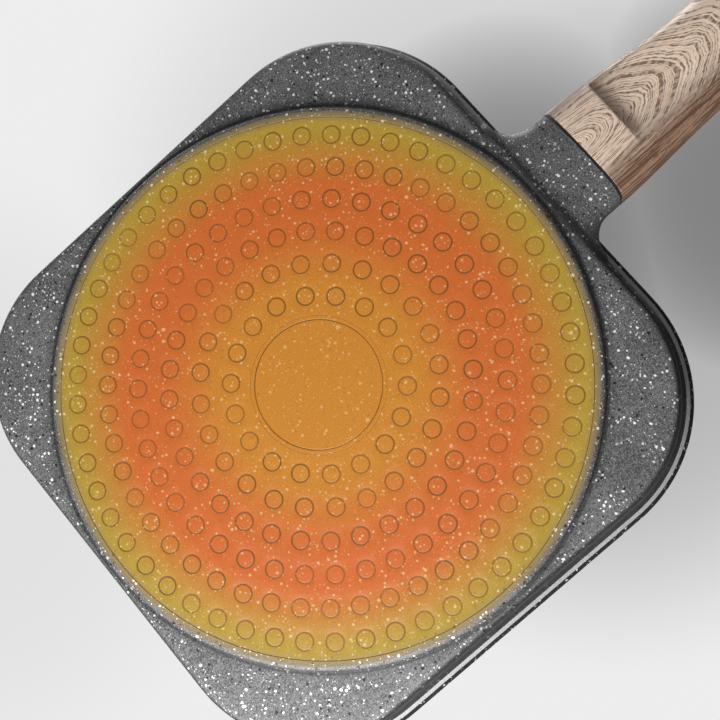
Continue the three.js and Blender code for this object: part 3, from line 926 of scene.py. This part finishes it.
def zipped(inner, outer):
    """Triangles, facing down, between two closed loops of points that go the same way round. The points of
    both are sorted by angle, and each in turn closes a triangle."""
    count = (len(inner), len(outer))
    turn = [np.unwrap(np.arctan2(loop[:, 1], loop[:, 0])) for loop in (inner, outer)]
    turn[1] = turn[1] - 2 * np.pi * np.round((turn[1][0] - turn[0][0]) / (2 * np.pi))
    later = np.concatenate([np.append(t[1:], t[0] + 2 * np.pi) for t in turn])
    owner = np.repeat((0, 1), count)[np.argsort(later, kind="stable")]
    a = np.cumsum(owner == 0) - (owner == 0)
    b = np.cumsum(owner == 1) - (owner == 1)
    third = np.where(owner == 0, (a + 1) % count[0], count[0] + (b + 1) % count[1])
    return np.stack((a % count[0], third, count[0] + b % count[1]), -1)


class EGGPAN_OT_body(bpy.types.Operator):
    """Cast body with its cups, rim lip, corner flats and base drum"""

    bl_idname = "egg_pan.body"
    bl_label = "Pan Body"

    def execute(self, context):
        quarter = body_quarter(context.scene.egg_pan_body)
        shell = Shell()
        for signs in ((1, 1, 1), (1, -1, 1), (-1, 1, 1), (-1, -1, 1)):
            shell.mirror_in(quarter, signs)
        make_piece("pan_shell", shell, (STONE, LIP_HIGHLIGHT, RIM), "pan_body")
        return {"FINISHED"}


class EGGPAN_OT_neck(bpy.types.Operator):
    """Cast neck that flares into the pan's side"""

    bl_idname = "egg_pan.neck"
    bl_label = "Neck"

    def execute(self, context):
        handle, body = context.scene.egg_pan_handle, context.scene.egg_pan_body
        wall = -(handle.seam_reach - RIM_HALF_WIDTH + body.lip_reach) / math.cos(handle.rise)
        flare = handle.neck_fillet + arc(0.0, 0.0, handle.neck_fillet, 180, 270, 20)
        along = np.concatenate(([wall - handle.neck_root], wall + flare[:, 0], [0.0, NECK_EDGE]))
        wide = handle.width + 2 * flare[:, 1]
        width = np.concatenate(([wide[0]], wide, [handle.width, handle.width - 2 * NECK_EDGE]))
        rise = handle.neck_root_rise * np.clip(along / wall, 0.0, 1.0)
        depth = handle.depth - rise
        depth[-1] -= 2 * NECK_EDGE
        tube = handle_tube(oval_rings(along, width, depth, rise / 2))
        make_piece("pan_neck", tube, (STONE,), "pan_body")
        return {"FINISHED"}


class EGGPAN_OT_plate(bpy.types.Operator):
    """Base plate with rings of flush studs, each in a fine groove"""

    bl_idname = "egg_pan.plate"
    bl_label = "Base Plate"

    def execute(self, context):
        plate = context.scene.egg_pan_plate
        boss = context.scene.egg_pan_body.boss_radius + SEAM
        half = (plate.ring_pitch - plate.ring_gap) / 2
        around = np.linspace(0, 2 * np.pi, PLATE_SIDES, endpoint=False)
        border = spun(self.border_profile(plate, boss), around)
        shell = Shell()
        first = shell.add(border)
        shell.skin(strip(first, *border.shape[:2], True))
        edge = border[-1]
        for ring, count in enumerate(RING_COUNTS):
            radius = plate.first_ring + ring * plate.ring_pitch
            self.add_studs(shell, plate, radius, half, count)
            steps = count * STUD_STEPS
            bends = plate.turn - math.pi / count + 2 * np.pi * np.arange(steps) / steps
            inner, outer = spun(((radius - half, 0.0), (radius + half, 0.0)), bends)
            self.join(shell, edge, inner)
            edge = outer
        self.join(shell, edge, border[0])
        make_piece("plate_face", shell, (STONE,), "base_plate")
        return {"FINISHED"}

    @staticmethod
    def border_profile(plate, boss):
        """Radius and height from the face over the outer edge, back and inner edge to the fine line."""
        back = PLATE_THICKNESS - HAIR
        line, wide = boss + plate.line_reach, plate.line_width / 2
        return (
            (PLATE_RADIUS - BEVEL, 0.0), (PLATE_RADIUS, BEVEL), (PLATE_RADIUS, back),
            (boss, back), (boss, BEVEL), (boss + 2 * BEVEL, 0.0),
            (line - wide - HAIR, 0.0), (line - wide, 0.0), (line, plate.line_depth),
            (line + wide, 0.0), (line + wide + HAIR, 0.0))

    @staticmethod
    def add_studs(shell, plate, radius, half, count):
        """Adds one ring of studs: a patch turned to each of its places."""
        rows = stud_rows(plate, radius, half, count)
        depth, columns, _ = rows.shape
        patch = np.concatenate((rows.reshape(-1, 3), [(radius, 0.0, 0.0)]))
        x, y, z = patch.T
        turn = plate.turn + 2 * np.pi * np.arange(count) / count
        c, s = np.cos(turn)[:, None], np.sin(turn)[:, None]
        first = shell.add(np.stack((x * c - y * s, x * s + y * c, np.tile(z, (count, 1))), -1))
        starts = column(first + len(patch) * np.arange(count))
        groove = strip(0, depth, columns, True)
        middle = fan(len(patch) - 1, (depth - 1) * columns, columns)[:, ::-1]
        shell.skin((starts + groove).reshape(-1, 4))
        shell.skin((starts + middle).reshape(-1, 3))

    @staticmethod
    def join(shell, inner, outer):
        """Closes the face between two loops."""
        first = shell.add(np.concatenate((inner, outer)))
        shell.skin(first + zipped(inner, outer))


class EGGPAN_OT_grip(bpy.types.Operator):
    """Wood-look grip with its finger scoop and hanging slot"""

    bl_idname = "egg_pan.grip"
    bl_label = "Grip"

    def execute(self, context):
        handle = context.scene.egg_pan_handle
        along, width, depth = self.sections(handle)
        rings = oval_rings(along, width, depth - GRIP_INSET, np.zeros(len(along)))
        rings[..., 2] = self.scooped(handle, *np.moveaxis(rings, -1, 0))
        grip = make_piece("grip_shell", handle_tube(rings), (WOOD,), "handle_grip")
        self.cut_slot(handle, grip)
        return {"FINISHED"}

    @staticmethod
    def sections(handle):
        """Place, width and depth of each section: smooth steps between joint, waist, swell and tail, an
        elliptic round at the tail, and a small broken edge at the joint. Sections lie closest together round
        the scoop's step."""
        start = FIT + handle.gasket + HAIR
        tail = handle.length - handle.tail_round
        near = 1.0 * MM
        step = (handle.scoop_at - near, handle.scoop_at + handle.scoop_step + near)
        scoop_end = handle.scoop_at + handle.scoop_length
        spans = ((start, step[0], 12), (*step, 20), (step[1], scoop_end, 40), (scoop_end, tail, 40))
        along = np.concatenate([np.linspace(*span, endpoint=False) for span in spans])
        places = (start, handle.waist_at, handle.swell_at, tail)
        widths = (handle.width, handle.waist_width, handle.swell_width, handle.tail_width)
        depths = (handle.depth, handle.depth, handle.swell_depth, handle.tail_depth)
        width = smooth_between(along, places, widths)
        depth = smooth_between(along, places, depths)
        bend = np.linspace(0.0, handle.tail_sweep, 14)
        edge = 1.0 - 2 * GRIP_EDGE / handle.width
        along[0] += GRIP_EDGE
        return (
            np.concatenate(([start], along, tail + handle.tail_round * np.sin(bend))),
            np.concatenate(([width[0] * edge], width, handle.tail_width * np.cos(bend))),
            np.concatenate(([depth[0] * edge], depth, handle.tail_depth * np.cos(bend))))

    @staticmethod
    def scooped(handle, along, across, above):
        """Lifts the underside to the scoop's floor: a short slope, then a parabola that falls by two scoop
        depths over the scoop's length and so comes back to the surface. The slope's height fades out smoothly
        towards one side. Floor and surface meet in a soft maximum."""
        flat = -handle.depth / 2
        slope = np.clip((along - handle.scoop_at) / handle.scoop_step, 0.0, 1.0)
        run = np.clip((along - handle.scoop_at - handle.scoop_step) / handle.scoop_length, 0.0, 1.0)
        fade = np.clip((across - handle.scoop_fade) / handle.scoop_fade_length, 0.0, 1.0)
        depth = handle.scoop_depth * (1.0 - fade ** 2 * (3 - 2 * fade))
        floor = flat + depth * slope - 2 * handle.scoop_depth * run ** 2
        soft = handle.scoop_soft
        softened = floor + soft * np.logaddexp(0.0, (above - floor) / soft)
        return np.where(along < handle.scoop_at, above, softened)

    @staticmethod
    def cut_slot(handle, grip):
        """Cuts a straight slot with round ends through the tail."""
        radius = handle.slot_width / 2
        end = handle.length - handle.slot_from_tail - radius
        begin = end - handle.slot_length + handle.slot_width
        outline = np.concatenate((arc(end, 0.0, radius, -90, 90, 24), arc(begin, 0.0, radius, 90, 270, 24)))
        through = 1.5 * handle.depth
        rings = lifted(np.stack((outline, outline)), (-through, through))
        cutter = show("slot_cutter", handle_tube(rings).mesh("slot_cutter"))
        cut = grip.modifiers.new("slot", "BOOLEAN")
        cut.operation = "DIFFERENCE"
        cut.object = cutter
        cut.solver = "EXACT"
        graph = bpy.context.evaluated_depsgraph_get()
        done = bpy.data.meshes.new_from_object(grip.evaluated_get(graph))
        grip.modifiers.clear()
        grip.data = done
        done.name = "grip_shell"
        bpy.data.objects.remove(cutter)
        smooth(done)


class EGGPAN_OT_fittings(bpy.types.Operator):
    """Finishes of the gasket, insert, washers and bolt"""

    bl_idname = "egg_pan.fittings"
    bl_label = "Fittings"

    def execute(self, context):
        finish = context.scene.egg_pan_finish
        zinc = plain_finish("Zinc-plated steel", finish.zinc, metallic=1.0, roughness=0.38, scale=900.0)
        brass = plain_finish("Brass", finish.brass, metallic=1.0, roughness=0.35, scale=900.0)
        gasket = plain_finish("Black gasket", finish.gasket, metallic=0.0, roughness=0.7, scale=1500.0)
        finishes = {
            "neck_gasket": gasket,
            "threaded_insert": brass,
            "flat_washer": zinc,
            "lock_washer": zinc,
            "handle_bolt": zinc,
        }
        for node, material in finishes.items():
            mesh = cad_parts[node].data
            mesh.materials.clear()
            mesh.materials.append(material)
        return {"FINISHED"}


class EGGPAN_OT_stage(bpy.types.Operator):
    """Camera, pale floor and soft studio light"""

    bl_idname = "egg_pan.stage"
    bl_label = "Stage"

    def execute(self, context):
        stage = context.scene.egg_pan_stage
        self.camera(context.scene, stage)
        self.floor(stage)
        self.surroundings(context.scene, stage)
        self.under_light(stage)
        context.scene.view_settings.view_transform = "Standard"
        return {"FINISHED"}

    @staticmethod
    def camera(scene, stage):
        """Camera at the photographed side."""
        data = bpy.data.cameras.new("camera")
        data.lens = stage.lens
        data.sensor_width = SENSOR
        data.clip_start = 0.01
        data.clip_end = 50.0
        camera = show("camera", data)
        camera.location = stage.camera_place
        camera.rotation_euler = stage.camera_turn
        scene.camera = camera

    @staticmethod
    def floor(stage):
        """Pale floor just under the base, which only shows from above."""
        graph = Graph(bpy.data.materials.new("floor"))
        tone = graph.noise(graph.place(), 3.0)
        colour = graph.mix(tone * 0.08, stage.floor_colour, stage.floor_mottle)
        matt = {"Base Color": colour, "Roughness": 0.8, "Specular IOR Level": 0.0}
        top = graph.node("ShaderNodeBsdfPrincipled", {}, matt)
        clear = graph.node("ShaderNodeBsdfTransparent")
        under = graph.node("ShaderNodeNewGeometry", out="Backfacing")
        graph.node("ShaderNodeOutputMaterial", {}, {
            "Surface": graph.node("ShaderNodeMixShader", {}, {0: under, 1: top, 2: clear})})
        side, low = stage.floor_side, -stage.floor_drop
        corners = [(-side, -side, low), (side, -side, low), (side, side, low), (-side, side, low)]
        mesh = bpy.data.meshes.new("floor")
        mesh.from_pydata(corners, [], [(0, 1, 2, 3)])
        mesh.materials.append(graph.owner)
        floor = show("floor", mesh)
        floor.visible_shadow = False
        floor.visible_diffuse = False
        floor.visible_glossy = False

    @staticmethod
    def ray(stage, x, y):
        """Direction of a picture point from the camera."""
        turn = Euler(stage.camera_turn).to_matrix()
        focal = stage.lens / SENSOR
        across = (x / IMAGE_SIDE - 0.5) / focal
        up = (0.5 - y / IMAGE_SIDE) / focal
        return (turn @ Vector((across, up, -1.0))).normalized()

    @classmethod
    def surroundings(cls, scene, stage):
        """Pale backdrop with soft shades, which the camera sees, and the light that the pan gets: an even
        change from a darker to a brighter side, with soft lights far away. A shade or light is 1 along its
        direction and falls smoothly to 0 at its reach."""
        scene.world = bpy.data.worlds.new("studio")
        graph = Graph(scene.world)
        way = graph.node("ShaderNodeTexCoord", out="Generated")
        shades = []
        for x, y, reach, strength in BACKDROP_SHADES:
            edge = math.atan(reach / IMAGE_SIDE * SENSOR / stage.lens)
            shades.append(graph.dot(way, cls.ray(stage, x, y)).ramp(math.cos(edge), 1.0) * strength)
        seen = graph.mix(greatest(shades), stage.backdrop, stage.shade)
        turn = Euler(stage.camera_turn).to_matrix()
        bright = (turn @ Vector(stage.bright_side)).normalized()
        ambient = graph.mix(graph.dot(way, bright).ramp(-0.9, 0.9), stage.ambient_dark, stage.ambient_bright)
        for place, reach, strength in FAR_LIGHTS:
            near = graph.dot(way, Vector(place).normalized())
            ambient = graph.mix(near.ramp(math.cos(math.radians(reach)), 1.0), ambient, (strength,) * 3)
        to_camera = graph.node("ShaderNodeLightPath", out="Is Camera Ray")
        colour = graph.mix(to_camera, ambient, seen)
        light = graph.node("ShaderNodeBackground", {}, {"Color": colour, "Strength": 1.0})
        graph.node("ShaderNodeOutputWorld", {}, {"Surface": light})

    @staticmethod
    def under_light(stage):
        """Soft box under the pan, at the picture's lower left."""
        place = Euler(stage.camera_turn).to_matrix() @ Vector(stage.lamp_place)
        data = bpy.data.lights.new("under_key", "AREA")
        data.size = stage.lamp_size
        data.energy = stage.lamp_power
        lamp = show("under_key", data)
        lamp.location = place
        lamp.rotation_euler = (-place).to_track_quat("-Z", "Y").to_euler()


class EGGPAN_PT_sidebar(bpy.types.Panel):
    """Lists the pan's pieces and their sizes"""

    bl_idname = "EGGPAN_PT_sidebar"
    bl_label = "Egg Pan"
    bl_space_type = "VIEW_3D"
    bl_region_type = "UI"
    bl_category = "Egg Pan"

    def draw(self, context):
        for operator in OPERATORS:
            self.layout.operator(operator.bl_idname)
        for name, group in SETTINGS.items():
            box = self.layout.box()
            for key in group.__annotations__:
                box.prop(getattr(context.scene, name), key)


OPERATORS = (
    EGGPAN_OT_body, EGGPAN_OT_neck, EGGPAN_OT_plate, EGGPAN_OT_grip, EGGPAN_OT_fittings, EGGPAN_OT_stage)
CLASSES = (*SETTINGS.values(), *OPERATORS, EGGPAN_PT_sidebar)


def register():
    """Registers the classes and gives the scene their settings."""
    for cls in CLASSES:
        bpy.utils.register_class(cls)
    for name, group in SETTINGS.items():
        setattr(bpy.types.Scene, name, PointerProperty(type=group))


def unregister():
    """Takes the settings and classes away again."""
    for name in SETTINGS:
        delattr(bpy.types.Scene, name)
    for cls in reversed(CLASSES):
        bpy.utils.unregister_class(cls)


def main():
    register()
    bpy.ops.egg_pan.body()
    bpy.ops.egg_pan.neck()
    bpy.ops.egg_pan.plate()
    bpy.ops.egg_pan.grip()
    bpy.ops.egg_pan.fittings()
    bpy.ops.egg_pan.stage()


if __name__ == "__main__":
    main()
